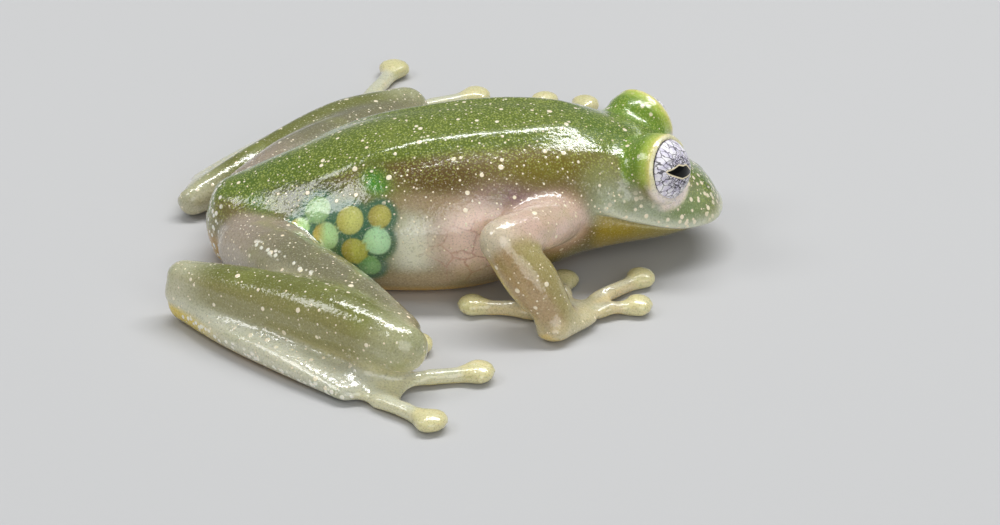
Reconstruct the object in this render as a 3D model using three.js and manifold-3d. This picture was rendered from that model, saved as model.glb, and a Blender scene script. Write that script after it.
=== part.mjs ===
// A glass frog at life size, resting on its belly with folded legs and its head turned a little to its left.
// Millimetres. +X points to the snout, +Y to the frog's left and +Z up. The frog rests on the plane z = 0.
// The trunk is one lofted body, parted at the neck. Each limb is a chain of swept ellipses, cut clear of what it meets.
import * as THREE from "three";
import { mergeVertices } from "three/addons/utils/BufferGeometryUtils.js";
import Module from "manifold-3d";

const wasm = await Module();
wasm.setup();

// Driving dimensions
const SNOUT_X = 15.7;
const VENT_X = -14.6;
const GAP = 0.3;
const HEAD_TURN = 0.17; // sideways rise of the midline for each millimetre of length, in front of the shoulders
const TURN_START_X = 0.8;
const TURN_SOFTNESS = 2;
const NECK_X = 7.2;
const NECK_LEAN = 0.12; // the neck cut leans forward at its top, in radians

const EYE_X = 11.2;
const EYE_SPREAD = 2.9; // from the head's middle to the centre of an eye
const EYE_Z = 6.2;
const EYE_RADIUS = 2.0;
const DOME_RADIUS = 2.1;
const EYE_SEAT = 0.85; // from the eye's centre to the flat that the visible eye sits on
const EYE_AZIMUTH = 0.87; // between the head's axis and the way an eye looks, in radians
const EYE_ELEVATION = 0.235;

const FINGER_RADIUS = 0.5;
const FINGER_DISC = 0.92;
const TOE_RADIUS = 0.55;
const TOE_DISC = 1.02;
const DIGIT_DEPTH = 0.46;
const DIGIT_HEIGHT = 0.4; // of a digit's middle over the floor, so that each digit lies on a narrow flat
const WEB_THICKNESS = 0.5;
const WEB_LIFT = 0.08;

// Fineness of the facets
const TRUNK_RINGS = 26;
const TRUNK_AROUND = 24;
const LIMB_RINGS = 6;
const LIMB_AROUND = 12;
const DIGIT_RINGS = 6;
const DIGIT_AROUND = 8;
const CAP_RINGS = 3;
const FLOOR_SIZE = 90;

// Sections of the trunk from vent to snout. Each half section runs from the top over the ridge, the widest point of
// the side and the under edge to the bottom. In the head the ridge is the canthus and the side is the upper lip.
const TRUNK = [
  { x: VENT_X, pole: 2.4 },
  { x: -13.9, top: 4.4, ridge: [1.1, 4.1], side: [2.0, 2.5], under: [1.6, 0.8], bottom: 0.4 },
  { x: -12.0, top: 5.4, ridge: [1.9, 4.8], side: [3.4, 2.9], under: [2.8, 0.5], bottom: 0.0 },
  { x: -9.0, top: 6.8, ridge: [2.6, 5.9], side: [4.7, 3.5], under: [3.9, 0.5], bottom: -0.3 },
  { x: -5.0, top: 8.3, ridge: [3.1, 7.4], side: [6.1, 4.2], under: [5.2, 0.6], bottom: -0.4 },
  { x: 0.0, top: 9.1, ridge: [3.5, 8.2], side: [6.6, 4.6], under: [5.3, 0.6], bottom: -0.4 },
  { x: 4.0, top: 9.2, ridge: [3.4, 8.3], side: [6.0, 4.8], under: [4.5, 1.1], bottom: 0.1 },
  { x: 7.0, top: 8.8, ridge: [3.2, 7.9], side: [5.1, 4.9], under: [3.6, 1.6], bottom: 0.5 },
  { x: 9.5, top: 8.0, ridge: [2.9, 7.0], side: [4.8, 4.3], under: [3.1, 1.7], bottom: 0.7 },
  { x: 12.0, top: 6.7, ridge: [2.5, 5.9], side: [4.3, 3.4], under: [2.7, 1.7], bottom: 1.0 },
  { x: 14.0, top: 4.85, ridge: [1.8, 4.4], side: [3.2, 2.8], under: [2.0, 1.7], bottom: 1.2 },
  { x: 15.1, top: 3.7, ridge: [1.3, 3.4], side: [2.1, 2.6], under: [1.3, 1.75], bottom: 1.45 },
  { x: SNOUT_X, pole: 2.4 },
];
// Height of the mouth's line along the head
const MOUTH = [[7.4, 4.7], [9.4, 3.8], [11.2, 3.1], [13.1, 2.4], [14.4, 2.2], [15.4, 2.2], [17.0, 2.2]];
const MOUTH_WIDTH = 0.24;
const MOUTH_DEPTH = 0.35;
const NOSTRIL = { x: 14.5, side: 1.35, z: 3.95, radius: 0.15, bump: 0.34 };
const EAR = { x: 8.9, side: 4.35, z: 5.65, radius: 0.6, groove: 0.13 };

// The limbs' stations: the middle of the section, its half width along the floor and its half depth
const station = (x, y, z, wide, deep = wide) => ({ at: new THREE.Vector3(x, y, z), wide, deep });
const LEG_RIGHT = {
  thigh: [
    station(-11.9, -3.2, 2.3, 1.8), station(-9.5, -6.6, 2.75, 2.05),
    station(-6.2, -10.6, 2.8, 1.95), station(-3.0, -14.8, 2.7, 1.45),
  ],
  shank: [
    station(-2.8, -15.9, 2.7, 1.5), station(-6.4, -13.3, 2.95, 1.9),
    station(-11.2, -10.2, 2.8, 1.6), station(-15.3, -7.6, 2.5, 1.1),
  ],
  foot: [
    station(-15.3, -7.9, 1.1, 1.0), station(-12.4, -11.0, 1.0, 1.15, 0.95),
    station(-8.9, -14.1, 0.85, 1.2, 0.85), station(-5.6, -16.4, 0.58, 1.5, 0.62),
  ],
  tips: [[-8.6, -10.6], [-5.2, -10.2], [-1.5, -10.8], [2.4, -14.6], [-0.4, -20.9]],
};
const LEG_LEFT = {
  thigh: [
    station(-12.0, 3.0, 2.4, 1.8), station(-9.6, 6.1, 2.7, 1.95),
    station(-6.3, 9.8, 2.7, 1.85), station(-3.3, 13.0, 2.6, 1.45),
  ],
  shank: [
    station(-3.2, 13.8, 2.7, 1.5), station(-7.0, 11.4, 2.6, 1.8),
    station(-11.6, 8.2, 1.9, 1.4), station(-15.7, 5.2, 1.0, 0.95),
  ],
  foot: [
    station(-15.3, 7.1, 0.88, 0.9), station(-12.5, 10.6, 0.9, 1.1, 0.92),
    station(-9.6, 14.0, 0.85, 1.2, 0.85), station(-6.6, 17.0, 0.58, 1.5, 0.62),
  ],
  tips: [[-9.4, 11.4], [-5.9, 11.4], [-1.9, 13.2], [2.0, 20.9], [-3.8, 25.4]],
};
const ARM_RIGHT = {
  upper: [station(6.1, -3.7, 4.5, 1.5), station(4.9, -6.0, 5.0, 1.4), station(3.0, -8.0, 5.4, 1.25)],
  fore: [station(2.7, -8.3, 5.3, 1.25), station(4.4, -9.1, 3.3, 1.5), station(5.9, -9.7, 1.3, 1.2, 1.0)],
  hand: [station(5.7, -10.1, 0.78, 1.2, 0.8), station(6.5, -8.3, 0.58, 1.85, 0.62)],
  tips: [[0.2, -6.8], [6.3, -3.1], [11.4, -3.1], [11.4, -6.8]],
};
const ARM_LEFT = {
  upper: [station(5.9, 5.2, 4.4, 1.5), station(4.6, 7.7, 4.2, 1.4), station(3.2, 10.0, 3.9, 1.25)],
  fore: [station(3.1, 10.4, 3.8, 1.25), station(4.0, 12.4, 2.6, 1.45), station(4.9, 14.2, 1.3, 1.15, 1.0)],
  hand: [station(5.0, 14.4, 0.78, 1.2, 0.8), station(6.2, 15.9, 0.58, 1.85, 0.62)],
  tips: [[9.4, 11.6], [11.0, 16.8], [8.4, 20.1], [5.3, 20.7]],
};

const skin = (colour, roughness = 0.35) => new THREE.MeshStandardMaterial({ color: colour, roughness, metalness: 0 });
const GREEN_BACK = 0x5f7a3a;
const OLIVE_HEAD = 0x6f8a45;
const PALE_LIMB = 0x98945c;
const PALE_DIGIT = 0xc9c58a;
const SILVER_EYE = 0xd8d8de;

// Catmull-Rom value through a list of numbers at position t, counted in list places.
// Past its ends the list goes on straight, or mirrored about its end, which rounds a pole.
function through(list, t, mirrored = false) {
  const i = Math.min(Math.max(Math.floor(t), 0), list.length - 2);
  const s = t - i;
  const [b, c] = [list[i], list[i + 1]];
  const a = i > 0 ? list[i - 1] : mirrored ? c : 2 * b - c;
  const d = i < list.length - 2 ? list[i + 2] : mirrored ? b : 2 * c - b;
  return 0.5 * (2 * b + (c - a) * s + (2 * a - 5 * b + 4 * c - d) * s * s + (3 * b - a - 3 * c + d) * s ** 3);
}

// The head's midline runs straight to the vent behind the shoulders and bends smoothly to the left in front of them
const bend = (x) => HEAD_TURN * TURN_SOFTNESS * Math.log(1 + Math.exp((x - TURN_START_X) / TURN_SOFTNESS));
const bendAngle = (x) => Math.atan(HEAD_TURN / (1 + Math.exp(-(x - TURN_START_X) / TURN_SOFTNESS)));

// A point given beside the straight midline, carried on to the bent one
function onMidline(x, side, z) {
  const angle = bendAngle(x);
  return new THREE.Vector3(x - side * Math.sin(angle), bend(x) + side * Math.cos(angle), z);
}

// A closed surface over rings of points between two end points
function skinOver(rings, first, last) {
  const around = rings[0].length;
  const points = [first, ...rings.flat(), last];
  const faces = [];
  for (let j = 0; j < around; j++) {
    const next = (j + 1) % around;
    faces.push(0, 1 + next, 1 + j);
    for (let i = 0; i < rings.length - 1; i++) {
      const [low, high] = [1 + i * around, 1 + (i + 1) * around];
      faces.push(low + j, low + next, high + next, low + j, high + next, high + j);
    }
    const end = 1 + (rings.length - 1) * around;
    faces.push(end + j, end + next, points.length - 1);
  }
  return new THREE.BufferGeometry().setFromPoints(points).setIndex(faces);
}

// A closed geometry as a solid, turned the right way out
function solid(geometry) {
  const bare = geometry.clone();
  bare.deleteAttribute("normal");
  bare.deleteAttribute("uv");
  const merged = mergeVertices(bare, 1e-4);
  const build = (faces) => new wasm.Manifold(new wasm.Mesh({ numProp: 3, vertProperties: merged.attributes.position.array, triVerts: faces }));
  const made = build(new Uint32Array(merged.index.array));
  return made.volume() < 0 ? build(new Uint32Array(merged.index.array).reverse()) : made;
}

const join = (solids) => solids.reduce((all, next) => all.add(next));
const clearOf = (body, others) => others.reduce((left, other) => left.subtract(other), body);
const largest = (body) => body.decompose().reduce((best, piece) => (piece.volume() > best.volume() ? piece : best));

// The half space behind a plane through a point, as a large block
function behind(point, normal) {
  const block = new THREE.BoxGeometry(FLOOR_SIZE, FLOOR_SIZE, FLOOR_SIZE).translate(-FLOOR_SIZE / 2, 0, 0);
  const turn = new THREE.Quaternion().setFromUnitVectors(new THREE.Vector3(1, 0, 0), normal.clone().normalize());
  return solid(block.applyQuaternion(turn).translate(point.x, point.y, point.z));
}
const belowFloor = behind(new THREE.Vector3(0, 0, 0), new THREE.Vector3(0, 0, 1));

// One section of the trunk at position t of the station list, each point pushed out by grow
function trunkSection(t, grow) {
  const inner = TRUNK.slice(1, -1);
  const [vent, snout] = [TRUNK[0].pole, TRUNK.at(-1).pole];
  const height = (read) => through([vent, ...inner.map(read), snout], t, true);
  const width = (read) => through([0, ...inner.map(read), 0], t);
  const x = through(TRUNK.map((s) => s.x), t, true);
  const half = [
    [0, height((s) => s.top)],
    [width((s) => s.ridge[0]), height((s) => s.ridge[1])],
    [width((s) => s.side[0]), height((s) => s.side[1])],
    [width((s) => s.under[0]), height((s) => s.under[1])],
    [0, height((s) => s.bottom)],
  ];
  const outline = [...half, ...half.slice(1, 4).reverse().map(([y, z]) => [-y, z])];
  const curve = new THREE.CatmullRomCurve3(outline.map(([y, z]) => new THREE.Vector3(0, y, z)), true, "centripetal");
  const middle = (half[0][1] + half[4][1]) / 2;
  return Array.from({ length: TRUNK_AROUND }, (_, j) => {
    const p = curve.getPoint(j / TRUNK_AROUND);
    const out = Math.hypot(p.y, p.z - middle) || 1;
    const push = Math.max(1 + grow / out, 0.25);
    return onMidline(x, p.y * push, middle + (p.z - middle) * push);
  });
}

function trunk(grow = 0) {
  const last = TRUNK.length - 1;
  const rings = [];
  for (let i = 0; i < TRUNK_RINGS; i++) {
    // Rings crowd towards both ends, where the trunk closes
    const share = (1 - Math.cos((Math.PI * (i + 0.5)) / TRUNK_RINGS)) / 2;
    rings.push(trunkSection(0.15 + share * (last - 0.3), grow));
  }
  return solid(skinOver(rings, onMidline(VENT_X - grow, 0, TRUNK[0].pole), onMidline(SNOUT_X + grow, 0, TRUNK.at(-1).pole)));
}

// An ellipse swept along the stations with round ends. Wide lies along the floor, deep across it.
function limb(stations, grow = 0, rings = LIMB_RINGS, around = LIMB_AROUND) {
  const path = new THREE.CatmullRomCurve3(stations.map((s) => s.at), false, "centripetal");
  const last = stations.length - 1;
  const made = [];
  const ring = (at, along, wide, deep) => {
    const side = new THREE.Vector3(0, 0, 1).cross(along).normalize();
    const up = along.clone().cross(side);
    return Array.from({ length: around }, (_, j) => {
      const angle = (2 * Math.PI * j) / around;
      return at.clone().addScaledVector(side, wide * Math.cos(angle)).addScaledVector(up, deep * Math.sin(angle));
    });
  };
  const sizes = (t) => [through(stations.map((s) => s.wide), t) + grow, through(stations.map((s) => s.deep), t) + grow];
  const cap = (t, sign) => {
    const [wide, deep] = sizes(t * last);
    const [at, along] = [path.getPoint(t), path.getTangent(t)];
    for (let k = 1; k < CAP_RINGS; k++) {
      const angle = ((Math.PI / 2) * k) / CAP_RINGS;
      const [out, keep] = [Math.sin(angle) * deep, Math.cos(angle)];
      made[sign < 0 ? "unshift" : "push"](ring(at.clone().addScaledVector(along, sign * out), along, wide * keep, deep * keep));
    }
    return at.clone().addScaledVector(along, sign * deep);
  };
  for (let i = 0; i <= rings; i++) {
    const t = i / rings;
    made.push(ring(path.getPoint(t), path.getTangent(t), ...sizes(t * last)));
  }
  const first = cap(0, -1);
  const end = cap(1, 1);
  return solid(skinOver(made, first, end));
}

// A finger or toe: a slim stalk from its knuckle to a broad round disc at the tip
function digitStations(knuckle, tip, radius, disc, arch) {
  const from = new THREE.Vector3(knuckle.x, knuckle.y, DIGIT_HEIGHT);
  const to = new THREE.Vector3(tip[0], tip[1], DIGIT_HEIGHT);
  const along = to.clone().sub(from);
  const length = along.length();
  const place = (reach, lift, wide, deep) => {
    const at = from.clone().addScaledVector(along, reach / length);
    return station(at.x, at.y, at.z + lift, wide, deep);
  };
  return [
    place(0, 0, radius * 1.1, DIGIT_DEPTH),
    place(length * 0.35, arch, radius, DIGIT_DEPTH),
    place(length - disc * 1.75, arch * 0.3, radius * 0.92, DIGIT_DEPTH * 0.92),
    place(length - disc * 0.75, 0.04, disc, DIGIT_DEPTH),
    place(length - disc * 0.3, 0, disc * 0.86, DIGIT_DEPTH * 0.85),
  ];
}

// Knuckles lie round the end of the hand or foot, each towards its own digit
function knuckles(base, tips, reach) {
  return tips.map(([x, y]) => {
    const way = new THREE.Vector3(x - base.x, y - base.y, 0).normalize();
    return base.clone().addScaledVector(way, reach);
  });
}

// The web between two neighbouring digits, with a hollow free edge
function web(base, tipA, tipB, reach) {
  const share = (tip) => [base.x + (tip[0] - base.x) * reach, base.y + (tip[1] - base.y) * reach];
  const [a, b] = [share(tipA), share(tipB)];
  const hollow = [base.x + ((a[0] + b[0]) / 2 - base.x) * 0.72, base.y + ((a[1] + b[1]) / 2 - base.y) * 0.72];
  const shape = new THREE.Shape().moveTo(base.x, base.y).lineTo(...a);
  shape.quadraticCurveTo(...hollow, ...b);
  shape.closePath();
  return solid(new THREE.ExtrudeGeometry(shape, { depth: WEB_THICKNESS, bevelEnabled: false, curveSegments: 6 }).translate(0, 0, WEB_LIFT));
}

const frog = new THREE.Group();
function addNode(name, body, colour, roughness) {
  const mesh = largest(clearOf(body, [belowFloor])).getMesh();
  const geometry = new THREE.BufferGeometry();
  geometry.setAttribute("position", new THREE.BufferAttribute(new Float32Array(mesh.vertProperties), 3));
  geometry.setIndex(new THREE.BufferAttribute(new Uint32Array(mesh.triVerts), 1));
  geometry.computeVertexNormals();
  const node = new THREE.Mesh(geometry, skin(colour, roughness));
  node.name = name;
  frog.add(node);
}

// Trunk, parted at the neck
const wholeTrunk = trunk();
const trunkRoom = trunk(GAP);
const neckWay = new THREE.Vector3(Math.cos(bendAngle(NECK_X)), Math.sin(bendAngle(NECK_X)), -NECK_LEAN);
const neckAt = (along) => onMidline(NECK_X, 0, 4).addScaledVector(neckWay, along);
const torso = wholeTrunk.intersect(behind(neckAt(-GAP / 2), neckWay));
let head = wholeTrunk.subtract(behind(neckAt(GAP / 2), neckWay));

// Eyes look forwards and outwards from raised domes, each behind a rim of lids
function eyeFrame(side) {
  const centre = onMidline(EYE_X, side * EYE_SPREAD, EYE_Z);
  const azimuth = bendAngle(EYE_X) + side * EYE_AZIMUTH;
  const flat = Math.cos(EYE_ELEVATION);
  const way = new THREE.Vector3(Math.cos(azimuth) * flat, Math.sin(azimuth) * flat, Math.sin(EYE_ELEVATION));
  return { centre, way };
}
function ball(centre, radius, around = 16) {
  return solid(new THREE.SphereGeometry(radius, around, Math.round(around * 0.6)).translate(centre.x, centre.y, centre.z));
}
function ringAround(centre, way, radius, tube) {
  const turn = new THREE.Quaternion().setFromUnitVectors(new THREE.Vector3(0, 0, 1), way);
  return solid(new THREE.TorusGeometry(radius, tube, 5, 16).applyQuaternion(turn).translate(centre.x, centre.y, centre.z));
}
const eyes = [];
for (const side of [-1, 1]) {
  const { centre, way } = eyeFrame(side);
  const seat = centre.clone().addScaledVector(way, EYE_SEAT);
  const front = centre.clone().addScaledVector(way, EYE_SEAT - GAP);
  const lidRadius = Math.sqrt(EYE_RADIUS ** 2 - EYE_SEAT ** 2);
  const dome = ball(centre.clone().addScaledVector(way, -0.15), DOME_RADIUS).intersect(behind(front, way));
  head = head.subtract(ball(centre, DOME_RADIUS + GAP).subtract(behind(front, way)));
  const lids = ringAround(front.clone().addScaledVector(way, -0.12), way, lidRadius + 0.12, 0.2);
  head = join([head, dome, lids.intersect(behind(front, way))]);
  eyes.push(ball(centre, EYE_RADIUS).subtract(behind(seat, way)));
}

// The mouth's line is a slit round the head that follows the lip's height
const mouthCurve = new THREE.SplineCurve(MOUTH.map(([x, z]) => new THREE.Vector2(x, z)));
const lipLine = mouthCurve.getPoints(12);
const slit = new THREE.Shape([
  ...lipLine.map((p) => new THREE.Vector2(p.x, p.y + MOUTH_WIDTH / 2)),
  ...lipLine.toReversed().map((p) => new THREE.Vector2(p.x, p.y - MOUTH_WIDTH / 2)),
]);
const slitBlock = new THREE.ExtrudeGeometry(slit, { depth: FLOOR_SIZE, bevelEnabled: false }).rotateX(Math.PI / 2).translate(0, FLOOR_SIZE / 2, 0);
head = head.subtract(solid(slitBlock).subtract(trunk(-MOUTH_DEPTH)));

// Nostrils open sideways from small swellings, and a shallow ring marks each ear
for (const side of [-1, 1]) {
  const nostril = onMidline(NOSTRIL.x, side * NOSTRIL.side, NOSTRIL.z);
  const aside = onMidline(NOSTRIL.x, side * (NOSTRIL.side + 1), NOSTRIL.z + 0.3).sub(nostril).normalize();
  const bore = new THREE.CylinderGeometry(NOSTRIL.radius, NOSTRIL.radius, 1, 8);
  bore.applyQuaternion(new THREE.Quaternion().setFromUnitVectors(new THREE.Vector3(0, 1, 0), aside));
  const mouth = nostril.clone().addScaledVector(aside, NOSTRIL.bump);
  head = head.add(ball(nostril, NOSTRIL.bump, 8)).subtract(solid(bore.translate(mouth.x, mouth.y, mouth.z)));
  const ear = onMidline(EAR.x, side * EAR.side, EAR.z);
  const outwards = onMidline(EAR.x, side * (EAR.side + 1), EAR.z + 0.45).sub(ear).normalize();
  head = head.subtract(ringAround(ear, outwards, EAR.radius, EAR.groove));
}
addNode("head", head, OLIVE_HEAD);
addNode("torso", torso, GREEN_BACK);
["eye_right", "eye_left"].forEach((name, i) => addNode(name, eyes[i], SILVER_EYE, 0.08));

function addDigits(prefix, base, tips, { radius, disc, reach, arch, names }, palm, others) {
  const stations = knuckles(base, tips, reach).map((root, i) => digitStations(root, tips[i], radius, disc, arch));
  const rooms = stations.map((list) => limb(list, GAP, DIGIT_RINGS, DIGIT_AROUND));
  stations.forEach((list, i) => {
    const plain = limb(list, 0, DIGIT_RINGS, DIGIT_AROUND);
    addNode(prefix + "_" + names[i], clearOf(plain, [palm, ...others, ...rooms.slice(0, i)]), PALE_DIGIT);
  });
  return rooms;
}

function addLeg(side, leg) {
  const shankRoom = limb(leg.shank, GAP);
  const thigh = limb(leg.thigh);
  const thighRoom = limb(leg.thigh, GAP);
  const footRoom = limb(leg.foot, GAP);
  addNode("thigh_" + side, clearOf(thigh, [trunkRoom, shankRoom]), PALE_LIMB);
  addNode("shank_" + side, clearOf(limb(leg.shank), [trunkRoom, footRoom]), PALE_LIMB);
  const base = leg.foot.at(-1).at;
  const toes = { radius: TOE_RADIUS, disc: TOE_DISC, reach: 1.7, arch: 0.1, names: ["1", "2", "3", "4", "5"] };
  const toeRooms = addDigits("toe_" + side, base, leg.tips, toes, footRoom, [thighRoom, shankRoom]);
  const webs = leg.tips.slice(1).map((tip, i) => web(base, leg.tips[i], tip, i < 1 ? 0.5 : 0.62));
  addNode("foot_" + side, join([limb(leg.foot), clearOf(join(webs), [...toeRooms, thighRoom, shankRoom])]), PALE_LIMB);
}
function addArm(side, arm) {
  const foreRoom = limb(arm.fore, GAP);
  const handRoom = limb(arm.hand, GAP);
  addNode("upper_arm_" + side, clearOf(limb(arm.upper), [trunkRoom, foreRoom]), PALE_LIMB);
  addNode("forearm_" + side, clearOf(limb(arm.fore), [trunkRoom, handRoom]), PALE_LIMB);
  const base = arm.hand.at(-1).at;
  const fingers = { radius: FINGER_RADIUS, disc: FINGER_DISC, reach: 1.5, arch: 0.16, names: ["1", "2", "3", "4"] };
  const fingerRooms = addDigits("finger_" + side, base, arm.tips, fingers, handRoom, [trunkRoom, foreRoom]);
  const outerWeb = web(base, arm.tips[2], arm.tips[3], 0.68);
  addNode("hand_" + side, join([limb(arm.hand), clearOf(outerWeb, [...fingerRooms, foreRoom])]), PALE_LIMB);
}
addLeg("right", LEG_RIGHT);
addLeg("left", LEG_LEFT);
addArm("right", ARM_RIGHT);
addArm("left", ARM_LEFT);

export default frog;
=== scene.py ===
import bmesh
import bpy
import math
import numpy as np
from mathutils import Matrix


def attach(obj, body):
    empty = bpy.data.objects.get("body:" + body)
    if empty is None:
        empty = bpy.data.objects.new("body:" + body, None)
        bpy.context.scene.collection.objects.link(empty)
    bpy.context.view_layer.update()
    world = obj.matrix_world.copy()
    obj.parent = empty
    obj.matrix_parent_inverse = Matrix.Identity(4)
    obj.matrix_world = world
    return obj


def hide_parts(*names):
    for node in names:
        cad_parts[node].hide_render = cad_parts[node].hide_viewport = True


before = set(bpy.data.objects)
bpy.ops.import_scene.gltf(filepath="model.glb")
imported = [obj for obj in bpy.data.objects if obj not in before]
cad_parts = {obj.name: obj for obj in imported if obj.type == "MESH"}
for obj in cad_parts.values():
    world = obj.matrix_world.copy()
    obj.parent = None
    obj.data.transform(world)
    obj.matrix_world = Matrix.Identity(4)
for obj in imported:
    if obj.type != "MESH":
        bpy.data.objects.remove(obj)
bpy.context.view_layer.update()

# The camera looks down at the frog's right side through a long lens, with the frog's snout to the right.
camera_data = bpy.data.cameras.new("camera")
camera_data.sensor_width = 36
camera_data.lens = 153
camera_data.clip_start = 0.01
camera_data.clip_end = 10
camera = bpy.data.objects.new("camera", camera_data)
camera.location = (0.00265, -0.22093, 0.11698)
camera.rotation_euler = (math.radians(62), 0, 0)
bpy.context.collection.objects.link(camera)
bpy.context.scene.camera = camera


# The skin of the whole body and its limbs. A glass frog's skin is one thin, wet, see-through sheet over the
# trunk, head, legs and toes. Each form under it is a surface of its own here, in millimetres, and one skin is
# drawn over all of them.
MM = 0.001
SNOUT_X, VENT_X = 15.7, -14.6
HEAD_TURN, TURN_START_X, TURN_SOFTNESS = 0.17, 0.8, 2.0
EYE_X, EYE_SPREAD, EYE_Z = 11.2, 2.9, 6.2
EYE_ELEVATION = 0.235
LID_SHELL, LID_EDGE, LID_AZIMUTH = 2.13, 0.9, 0.72
VOXEL = 0.2 * MM

TRUNK = {
    "x": [VENT_X, -13.9, -12.0, -9.0, -5.0, 0.0, 4.0, 7.0, 9.5, 12.0, 14.0, 15.1, SNOUT_X],
    "top": [2.4, 4.4, 5.4, 6.8, 8.3, 9.1, 9.2, 8.8, 8.0, 6.7, 4.85, 3.7, 2.4],
    "ridge_side": [0, 1.1, 1.9, 2.6, 3.1, 3.5, 3.4, 3.2, 2.9, 2.5, 1.8, 1.3, 0],
    "ridge_z": [2.4, 4.1, 4.8, 5.9, 7.4, 8.2, 8.3, 7.9, 7.0, 5.9, 4.4, 3.4, 2.4],
    "flank_side": [0, 2.0, 3.4, 4.7, 6.1, 6.6, 6.0, 5.1, 4.8, 4.3, 3.2, 2.1, 0],
    "flank_z": [2.4, 2.5, 2.9, 3.5, 4.2, 4.6, 4.8, 4.9, 4.3, 3.4, 2.8, 2.6, 2.4],
    "under_side": [0, 1.6, 2.8, 3.9, 5.2, 5.3, 4.5, 3.6, 3.1, 2.7, 2.0, 1.3, 0],
    "under_z": [2.4, 0.8, 0.5, 0.5, 0.6, 0.6, 1.1, 1.6, 1.7, 1.7, 1.7, 1.75, 2.4],
    "bottom": [2.4, 0.4, 0.0, -0.3, -0.4, -0.4, 0.1, 0.5, 0.7, 1.0, 1.2, 1.45, 2.4],
}

# Each row is the middle of a section, its half width along the floor and its half depth
LIMBS = {
    "thigh_right": [(-11.9, -3.2, 2.3, 1.8, 1.8), (-9.5, -6.6, 2.75, 2.05, 2.05),
                    (-6.2, -10.6, 2.8, 1.95, 1.95), (-3.0, -14.8, 2.7, 1.45, 1.45)],
    "shank_right": [(-2.8, -15.9, 2.7, 1.5, 1.5), (-6.4, -13.3, 2.95, 1.9, 1.9),
                    (-11.2, -10.2, 2.8, 1.6, 1.6), (-15.3, -7.6, 2.5, 1.1, 1.1)],
    "foot_right": [(-15.3, -7.9, 1.1, 1.0, 1.0), (-12.4, -11.0, 1.0, 1.15, 0.95),
                   (-8.9, -14.1, 0.85, 1.2, 0.85), (-5.6, -16.4, 0.58, 1.5, 0.62)],
    "thigh_left": [(-12.0, 3.0, 2.4, 1.8, 1.8), (-9.6, 6.1, 2.7, 1.95, 1.95), (-6.3, 9.8, 2.7, 1.85, 1.85),
                   (-3.3, 13.0, 2.6, 1.45, 1.45)],
    "shank_left": [(-3.2, 13.8, 2.7, 1.5, 1.5), (-7.0, 11.4, 2.6, 1.8, 1.8), (-11.6, 8.2, 1.9, 1.4, 1.4),
                   (-15.7, 5.2, 1.0, 0.95, 0.95)],
    "foot_left": [(-15.3, 7.1, 0.88, 0.9, 0.9), (-12.5, 10.6, 0.9, 1.1, 0.92), (-9.6, 14.0, 0.85, 1.2, 0.85),
                  (-6.6, 17.0, 0.58, 1.5, 0.62)],
    "upper_arm_right": [(6.1, -3.7, 4.5, 1.5, 1.5), (4.9, -6.0, 5.0, 1.4, 1.4), (3.0, -8.0, 5.4, 1.25, 1.25)],
    "forearm_right": [(2.7, -8.3, 5.3, 1.25, 1.25), (4.4, -9.1, 3.3, 1.5, 1.5), (5.9, -9.7, 1.3, 1.2, 1.0)],
    "hand_right": [(5.7, -10.1, 0.78, 1.2, 0.8), (6.5, -8.3, 0.58, 1.85, 0.62)],
    "upper_arm_left": [(5.9, 5.2, 4.4, 1.5, 1.5), (4.6, 7.7, 4.2, 1.4, 1.4), (3.2, 10.0, 3.9, 1.25, 1.25)],
    "forearm_left": [(3.1, 10.4, 3.8, 1.25, 1.25), (4.0, 12.4, 2.6, 1.45, 1.45), (4.9, 14.2, 1.3, 1.15, 1.0)],
    "hand_left": [(5.0, 14.4, 0.78, 1.2, 0.8), (6.2, 15.9, 0.58, 1.85, 0.62)],
}
# The tips of the toes and fingers on the floor, inner digit first
TIPS = {
    "toe_right": [(-8.6, -10.6), (-5.2, -10.2), (-1.5, -10.8), (2.4, -14.6), (-0.4, -20.9)],
    "toe_left": [(-9.4, 11.4), (-5.9, 11.4), (-1.9, 13.2), (2.0, 20.9), (-3.8, 25.4)],
    "finger_right": [(0.2, -6.8), (6.3, -3.1), (11.4, -3.1), (11.4, -6.8)],
    "finger_left": [(9.4, 11.6), (11.0, 16.8), (8.4, 20.1), (5.3, 20.7)],
}
PALMS = {"toe_right": "foot_right", "toe_left": "foot_left",
         "finger_right": "hand_right", "finger_left": "hand_left"}
DIGIT_HEIGHT, DIGIT_DEPTH = 0.4, 0.46
WEB_HEIGHT, WEB_HALF_DEPTH = 0.33, 0.25


def through(values, t, mirrored=False):
    """Catmull-Rom values at places t of a list. Past its ends the list goes on straight, or mirrored about
    the end."""
    v = np.asarray(values, float)
    before, after = (v[1], v[-2]) if mirrored else (2 * v[0] - v[1], 2 * v[-1] - v[-2])
    v = np.concatenate([[before], v, [after]])
    i = np.clip(np.floor(t).astype(int), 0, len(values) - 2)
    s = t - i
    a, b, c, d = v[i], v[i + 1], v[i + 2], v[i + 3]
    return 0.5 * (2 * b + (c - a) * s + (2 * a - 5 * b + 4 * c - d) * s**2 + (3 * b - a - 3 * c + d) * s**3)


def eased(p0, p1, p2, p3, s):
    """Point at share s between p1 and p2 of the centripetal Catmull-Rom curve through four points.

    The end slopes weigh each neighbour by the square root of its distance, and a cubic joins them."""
    spans = ((p0, p1), (p1, p2), (p2, p3))
    gap = [np.maximum(np.linalg.norm(b - a, axis=-1, keepdims=True), 1e-9) ** 0.5 for a, b in spans]
    m1 = ((p1 - p0) / gap[0] - (p2 - p0) / (gap[0] + gap[1]) + (p2 - p1) / gap[1]) * gap[1]
    m2 = ((p2 - p1) / gap[1] - (p3 - p1) / (gap[1] + gap[2]) + (p3 - p2) / gap[2]) * gap[1]
    s = np.asarray(s)[..., None]
    s2, s3 = s**2, s**3
    return (2 * s3 - 3 * s2 + 1) * p1 + (s3 - 2 * s2 + s) * m1 + (3 * s2 - 2 * s3) * p2 + (s3 - s2) * m2


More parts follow.
